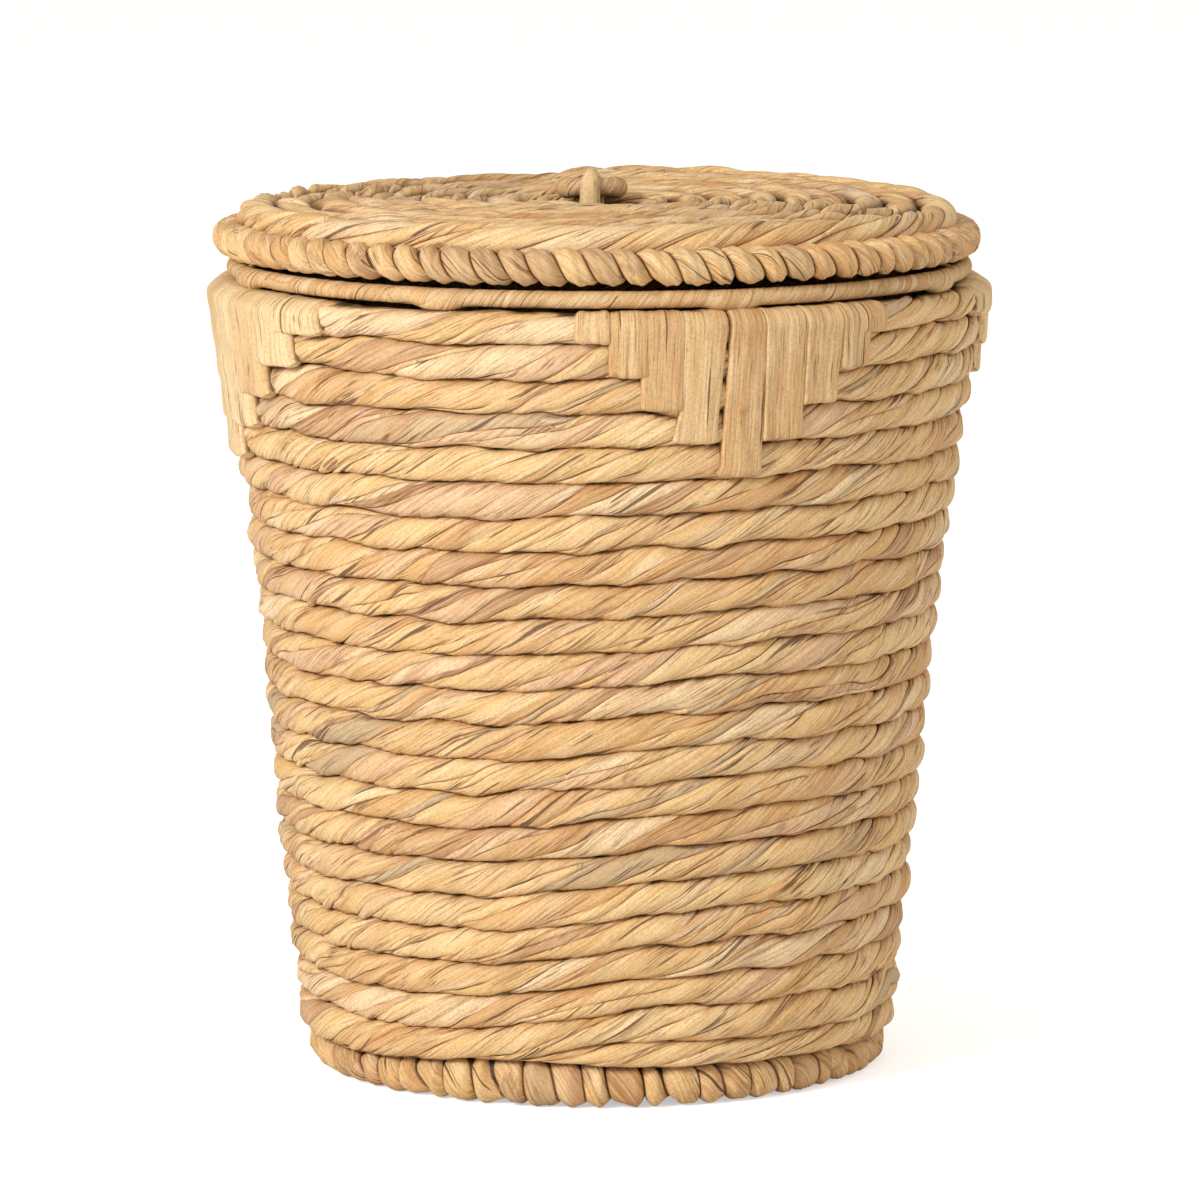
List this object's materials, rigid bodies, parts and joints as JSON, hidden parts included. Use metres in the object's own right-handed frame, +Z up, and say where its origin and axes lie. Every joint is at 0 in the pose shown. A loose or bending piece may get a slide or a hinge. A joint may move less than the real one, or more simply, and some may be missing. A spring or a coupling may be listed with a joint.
{
  "type": "laundry hamper",
  "caption": "Round tapered laundry hamper of stacked twisted leaf ropes on a wire frame, with stepped lashings and a loose coiled lid with a small ring pull.",
  "frame": {"origin": "centre of the underside of the foot, on the floor", "axes": "+Z up through the lid; the front lashing is on -Y and the others on +X, +Y and, turned 9 degrees towards the back, -X"},
  "size_m": [0.4498, 0.4494, 0.5143],
  "materials": {
    "leaf_rope": "dry twisted leaf rope, matte with a faint sheen along the fibres",
    "twisted_leaf": "tightly twisted or plaited leaf, matte",
    "leaf_strip": "flat pale leaf strip with fine fibres along it, matte",
    "frame_wire": "dark brown lacquer, satin"
  },
  "bodies": {
    "basket": {"foot_braid": "twisted_leaf", "wall_row_01": "leaf_rope", "wall_row_02": "leaf_rope", "wall_row_03": "leaf_rope", "wall_row_04": "leaf_rope", "wall_row_05": "leaf_rope", "wall_row_06": "leaf_rope", "wall_row_07": "leaf_rope", "wall_row_08": "leaf_rope", "wall_row_09": "leaf_rope", "wall_row_10": "leaf_rope", "wall_row_11": "leaf_rope", "wall_row_12": "leaf_rope", "wall_row_13": "leaf_rope", "wall_row_14": "leaf_rope", "wall_row_15": "leaf_rope", "wall_row_16": "leaf_rope", "wall_row_17": "leaf_rope", "wall_row_18": "leaf_rope", "wall_row_19": "leaf_rope", "wall_row_20": "leaf_rope", "wall_row_21": "leaf_rope", "wall_row_22": "leaf_rope", "upright_wire_1": "frame_wire", "upright_wire_2": "frame_wire", "upright_wire_3": "frame_wire", "upright_wire_4": "frame_wire", "upright_wire_5": "frame_wire", "upright_wire_6": "frame_wire", "upright_wire_7": "frame_wire", "upright_wire_8": "frame_wire", "rim_wire": "frame_wire", "bottom_ring_wire": "frame_wire", "base_cross_wires": "frame_wire", "rim_binding": "leaf_strip", "base_coil": "leaf_rope", "lashing_front": "leaf_strip", "lashing_right": "leaf_strip", "lashing_back": "leaf_strip", "lashing_left": "leaf_strip"},
    "lid": {"lid_edge_rope": "twisted_leaf", "lid_coil": "leaf_rope", "lid_ring_wire": "frame_wire", "lid_spider": "frame_wire", "pull_loop": "leaf_strip"},
    "pull_ring": {"pull_ring": "leaf_strip"}
  },
  "joints": [
    {"name": "lid_lift", "type": "slide", "parent": "basket", "child": "lid", "axis": [0, 0, 1], "range_m": [0, 0.25]},
    {"name": "pull_ring_swing", "type": "hinge", "parent": "lid", "child": "pull_ring", "pos_m": [0, 0, 0.5031], "axis": [0.9379, -0.3469, 0], "range_deg": [0, 180]}
  ]
}
